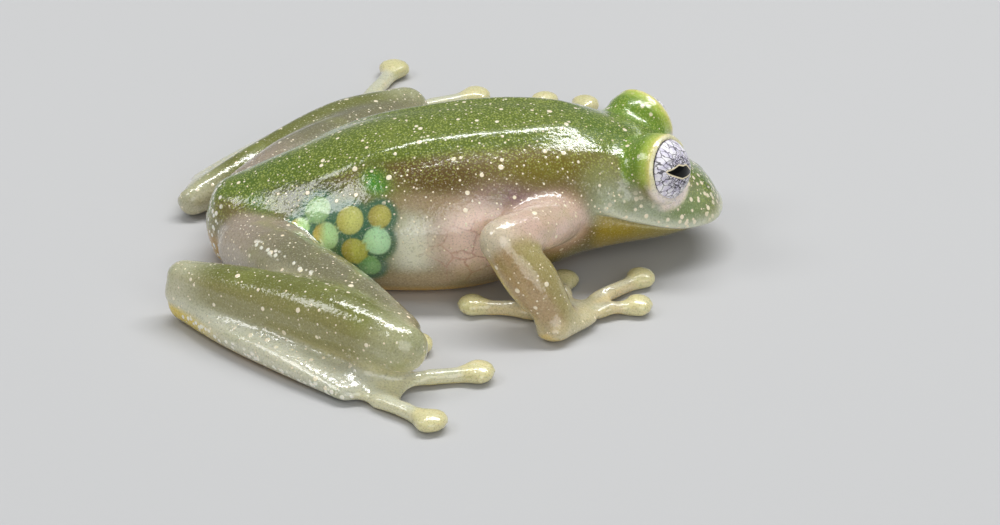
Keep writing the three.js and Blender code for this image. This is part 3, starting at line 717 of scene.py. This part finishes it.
# Veins over the gut, a net of fine lines
wave = add(tree, "TexNoise", {"Vector": place, "Scale": 900.0, "Detail": 2.0}, out="Color")
bent = add(tree, "VectorMath", {0: wave, 3: 0.0005}, operation="SCALE")
bent = add(tree, "VectorMath", {0: place, 1: bent}, operation="ADD")
net = add(tree, "TexVoronoi", {"Vector": bent, "Scale": 640.0}, feature="DISTANCE_TO_EDGE")
vein = calc(tree, "MULTIPLY", step(tree, net, 0.05, 0.0), marks[2])
colour = blend(tree, calc(tree, "MULTIPLY", vein, 0.5), colour, (178, 104, 84))

# Eggs against the dark green between them
gap_share = step(tree, egg_of.node.outputs["Alpha"], 0.2, 0.42)
colour = blend(tree, calc(tree, "MULTIPLY", gap_share, 0.9), colour, (66, 112, 82))
colour = blend(tree, step(tree, egg_of.node.outputs["Alpha"], 0.46, 0.53), colour, egg_of)

# Fine dark and light flecks of pigment
fleck = add(tree, "TexNoise", {"Vector": place, "Scale": 9000.0, "Detail": 3.0, "Roughness": 0.6})
patch = add(tree, "TexNoise", {"Vector": place, "Scale": 420.0, "Detail": 3.0})
colour = blend(tree, calc(tree, "MULTIPLY", step(tree, fleck, 0.5, 0.34), 0.28), colour, (70, 66, 34))
colour = blend(tree, calc(tree, "MULTIPLY", step(tree, fleck, 0.56, 0.68), 0.3), colour, (228, 222, 196))
colour = blend(tree, calc(tree, "MULTIPLY", step(tree, patch, 0.52, 0.72), 0.25), colour, (150, 158, 74))

# Pale granules, close together on the back and thin elsewhere
seeds = add(tree, "TexVoronoi", {"Vector": place, "Scale": 6400.0})
granule = calc(tree, "MULTIPLY", step(tree, seeds, 0.5, 0.2), marks[0])
colour = blend(tree, calc(tree, "MULTIPLY", granule, 0.5), colour, (190, 200, 96))

# Round cream spots, tiny white ones between them, and a cluster of them on each cheek
dots = add(tree, "TexVoronoi", {"Vector": place, "Scale": 2050.0, "Randomness": 0.9})
spot = calc(tree, "MULTIPLY", step(tree, dots, 0.34, 0.24), build_of.node.outputs["Alpha"])
for scale, smallest, more in ((1080.0, 0.09, 0.08), (2700.0, 0.09, 0.09)):
    dots = add(tree, "TexVoronoi", {"Vector": place, "Scale": scale})
    size = add(tree, "SeparateColor", {0: dots.node.outputs["Color"]})
    size = calc(tree, "MULTIPLY_ADD", size, more)
    size.node.inputs[2].default_value = smallest
    ring = step(tree, calc(tree, "SUBTRACT", dots, size), 0.03, -0.02)
    spot = calc(tree, "MAXIMUM", ring, spot)
spot = calc(tree, "MULTIPLY", spot, marks[1])
colour = blend(tree, spot, colour, (252, 238, 208))

# Rows of white warts along the feet and round the vent, and the pale edge of the lip
warts = step(tree, add(tree, "TexVoronoi", {"Vector": place, "Scale": 2600.0}), 0.44, 0.3)
wart = calc(tree, "MULTIPLY", warts, step(tree, marks_of.node.outputs["Alpha"], 0.35, 0.7))
colour = blend(tree, calc(tree, "MAXIMUM", wart, tint_of.node.outputs["Alpha"]), colour, (250, 246, 228))
# Painted shade: the nostrils are painted dark inside their pits.
colour = blend(tree, build[1], colour, (36, 40, 26))

# The relief: granules and spots stand up, and fine wrinkles break the film's reflections
wrinkle = add(tree, "TexNoise", {"Vector": place, "Scale": 2600.0, "Detail": 4.0})
height = calc(tree, "MULTIPLY", granule, 0.5)
height = calc(tree, "ADD", height, calc(tree, "MULTIPLY", calc(tree, "ADD", spot, wart), 0.6))
height = calc(tree, "ADD", height, calc(tree, "MULTIPLY", wrinkle, 0.5))
relief = add(tree, "Bump", {"Height": height, "Distance": 0.00003, "Strength": 0.7})
tree.links.new(colour, shader.inputs["Base Color"])
tree.links.new(relief, shader.inputs["Normal"])
crinkle = add(tree, "TexNoise", {"Vector": place, "Scale": 3000.0, "Detail": 3.0})
ripple = calc(tree, "ADD", crinkle, calc(tree, "MULTIPLY", calc(tree, "ADD", spot, wart), 0.3))
film = add(tree, "Bump", {"Height": ripple, "Distance": 0.00006, "Strength": 0.6})
tree.links.new(film, shader.inputs["Coat Normal"])
film_rough = calc(tree, "MULTIPLY_ADD", build[0], -0.05)
film_rough.node.inputs[2].default_value = 0.1
tree.links.new(film_rough, shader.inputs["Coat Roughness"])

skin_mesh.materials.clear()
skin_mesh.materials.append(skin_look)
skin = bpy.data.objects.new("skin", skin_mesh)
bpy.context.collection.objects.link(skin)
skin_mesh.polygons.foreach_set("use_smooth", np.ones(len(skin_mesh.polygons), bool))
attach(skin, "root")
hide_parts("head", "torso", *LIMBS)


# The two eyes. Each is a firm, wet ball that looks to the side and a little forwards, with a silver iris
# under its clear front, a net of fine black lines on it, and a level black pupil. The lids hold it.
EYEBALL, CLEAR_FRONT = 2.0, 0.05
EYE_AZIMUTH, PUPIL_DIP = 0.87, 0.32


def eye_mesh(name, centre, way, opening, dip):
    """A ball about the way it looks, by angle from that way and round it, with a clear front that bulges a
    little. Its map holds the places across and above the pupil, as 0.5 plus a quarter of the millimetres,
    turned by the dip of the pupil's front corner, and an attribute holds how far each point stands out of
    the lids' opening."""
    rings, around = 48, 96
    lean = np.pi * (np.arange(rings) + 0.5) / rings
    turn = 2 * np.pi * np.arange(around) / around
    level = np.array([-way[1], way[0], 0]) / math.hypot(way[0], way[1])
    upright = np.cross(way, level)
    across = level * math.cos(dip) + upright * math.sin(dip)
    above = upright * math.cos(dip) - level * math.sin(dip)
    radius = EYEBALL + CLEAR_FRONT * np.exp(-(lean / 0.55) ** 2)
    out, ahead = (radius * np.sin(lean))[:, None, None], (radius * np.cos(lean))[:, None, None]
    grid = centre + ahead * way + out * (np.cos(turn)[:, None] * across + np.sin(turn)[:, None] * above)
    made = closed_mesh(name, [(grid, [centre + way * (EYEBALL + CLEAR_FRONT), centre - way * EYEBALL])])
    off = read_points(made)[0] - centre
    corner = np.empty(len(made.loops), int)
    made.loops.foreach_get("vertex_index", corner)
    flat = np.stack([off @ across, off @ above], -1) / 4 + 0.5
    made.uv_layers.new(name="gaze").data.foreach_set("uv", flat[corner].ravel())
    made.attributes.new("rim", "FLOAT", "POINT").data.foreach_set("value", off @ opening - LID_EDGE)
    made.polygons.foreach_set("use_smooth", np.ones(len(made.polygons), bool))
    return made


eye_look, tree, shader = new_material(
    "eye", Roughness=0.4, Specular_IOR_Level=0.05, Coat_Weight=0.7, Coat_Roughness=0.02, Coat_IOR=1.33)
gaze = add(tree, "UVMap", {}, uv_map="gaze")
gaze = add(tree, "VectorMath", {0: gaze, 1: (0.5, 0.5, 0.0)}, operation="SUBTRACT")
gaze = add(tree, "VectorMath", {0: gaze, 3: 4.0}, operation="SCALE")
flat = add(tree, "SeparateXYZ", {0: gaze}).node.outputs
from_middle = add(tree, "VectorMath", {0: gaze}, out="Value", operation="LENGTH")
shake = add(tree, "TexNoise", {"Vector": gaze, "Scale": 2.4, "Detail": 3.0})
iris = blend(tree, step(tree, shake, 0.35, 0.65), (212, 206, 226), (255, 252, 255))
# The black net: wide meshes, fine ones, and a dust of specks that thickens towards the pupil. Each net has
# its scale, the width and strength of its lines, and the distances from the middle where it ends and is full
IRIS_NETS = [(3.0, 0.08, 0.85, 2.1, 1.4), (5.6, 0.13, 0.95, 1.35, 0.7)]
swirl = add(tree, "TexNoise", {"Vector": gaze, "Scale": 3.0, "Detail": 2.0}, out="Color")
swirl = add(tree, "VectorMath", {0: swirl, 3: 0.35}, operation="SCALE")
swirled = add(tree, "VectorMath", {0: swirl, 1: gaze}, operation="ADD")
for scale, thin, strong, low, high in IRIS_NETS:
    lines = add(tree, "TexVoronoi", {"Vector": swirled, "Scale": scale}, feature="DISTANCE_TO_EDGE")
    lines = calc(tree, "MULTIPLY", step(tree, lines, thin, thin * 0.3), step(tree, from_middle, low, high))
    iris = blend(tree, calc(tree, "MULTIPLY", lines, strong), iris, (16, 12, 18))
dust = add(tree, "TexNoise", {"Vector": gaze, "Scale": 16.0, "Detail": 2.0})
dust = calc(tree, "MULTIPLY", step(tree, dust, 0.56, 0.62), step(tree, from_middle, 1.4, 0.5))
iris = blend(tree, dust, iris, (24, 16, 22))
# The pupil: level, pointed at both ends, its upper edge in two lobes with a notch between them
wide = calc(tree, "ABSOLUTE", flat[0])
left = calc(tree, "SUBTRACT", 1.0, calc(tree, "MULTIPLY", wide, 0.95))
bow = calc(tree, "POWER", calc(tree, "MAXIMUM", left, 0.0), 0.6)
lobes = calc(tree, "ABSOLUTE", calc(tree, "SUBTRACT", wide, 0.34))
upper = calc(tree, "MULTIPLY", bow, calc(tree, "SUBTRACT", 0.47, calc(tree, "MULTIPLY", lobes, 0.45)))
lower = calc(tree, "MULTIPLY", bow, 0.36)
above = calc(tree, "GREATER_THAN", flat[1], 0.0)
edge = add(tree, "Mix", {0: above, 2: lower, 3: upper})
edge = calc(tree, "ADD", edge, calc(tree, "MINIMUM", left, 0.0))
within = calc(tree, "SUBTRACT", edge, calc(tree, "ABSOLUTE", flat[1]))
iris = blend(tree, step(tree, within, -0.1, -0.05), iris, (240, 226, 190))
iris = blend(tree, step(tree, within, -0.01, 0.02), iris, (4, 4, 5))
rim = add(tree, "Attribute", {}, out="Fac", attribute_name="rim")
iris = blend(tree, step(tree, rim, 0.11, 0.05), iris, (34, 22, 34))
tree.links.new(iris, shader.inputs["Base Color"])

for name, side in (("eye_right", -1), ("eye_left", 1)):
    centre, way = eye_place(side, EYE_AZIMUTH)
    ball = eye_mesh(name + "_ball", centre, way, eye_place(side, LID_AZIMUTH)[1], side * PUPIL_DIP)
    eye = bpy.data.objects.new(name + "_ball", ball)
    bpy.context.collection.objects.link(eye)
    eye.data.materials.append(eye_look)
    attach(eye, "root")
    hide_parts(name)


# A pale, plain floor, a hair below the flats that the frog rests on
FLOOR_HALF, FLOOR_Z = 2, -2e-5
floor_look, _, _ = new_material(
    "pale_paper", Base_Color=(0.54, 0.54, 0.54, 1.0), Roughness=0.8, Specular_IOR_Level=0.2)
corners = [(a * FLOOR_HALF, b * FLOOR_HALF, FLOOR_Z) for a, b in ((-1, -1), (1, -1), (1, 1), (-1, 1))]
floor_mesh = bpy.data.meshes.new("floor")
floor_mesh.from_pydata(corners, [], [(0, 1, 2, 3)])
floor_mesh.materials.append(floor_look)
floor = bpy.data.objects.new("floor", floor_mesh)
bpy.context.collection.objects.link(floor)

# Soft boxes over the frog. Each is given as its way from the frog, distance, width, depth and power: a long
# strip that draws a line of light along the back, one on the left for the leg, and two wide ones, above and in
# front
SOFT_BOXES = {
    "strip": ((0.16, 0.25, 0.955), 0.35, 0.38, 0.06, 0.95),
    "side": ((-0.643, -0.1, 0.757), 0.3, 0.1, 0.09, 0.14),
    "wide": ((0.2, 0.35, 0.91), 0.36, 0.3, 0.26, 0.16),
    "front": ((0.25, -0.85, 0.46), 0.4, 0.36, 0.3, 0.6),
}
for name, (way, far, width, depth, power) in SOFT_BOXES.items():
    lamp_data = bpy.data.lights.new(name, "AREA")
    lamp_data.shape = "RECTANGLE"
    lamp_data.size, lamp_data.size_y = width, depth
    lamp_data.energy = power
    lamp = bpy.data.objects.new(name, lamp_data)
    lamp.location = np.array(way) * far
    lamp.rotation_euler = (math.atan2(-way[1], way[2]), math.asin(way[0]), 0)
    bpy.context.collection.objects.link(lamp)

world = bpy.data.worlds.new("studio")
world.use_nodes = True
world.node_tree.nodes["Background"].inputs["Color"].default_value = (0.8, 0.85, 0.9, 1)
world.node_tree.nodes["Background"].inputs["Strength"].default_value = 0.25
bpy.context.scene.view_settings.view_transform = "Standard"
bpy.context.scene.world = world
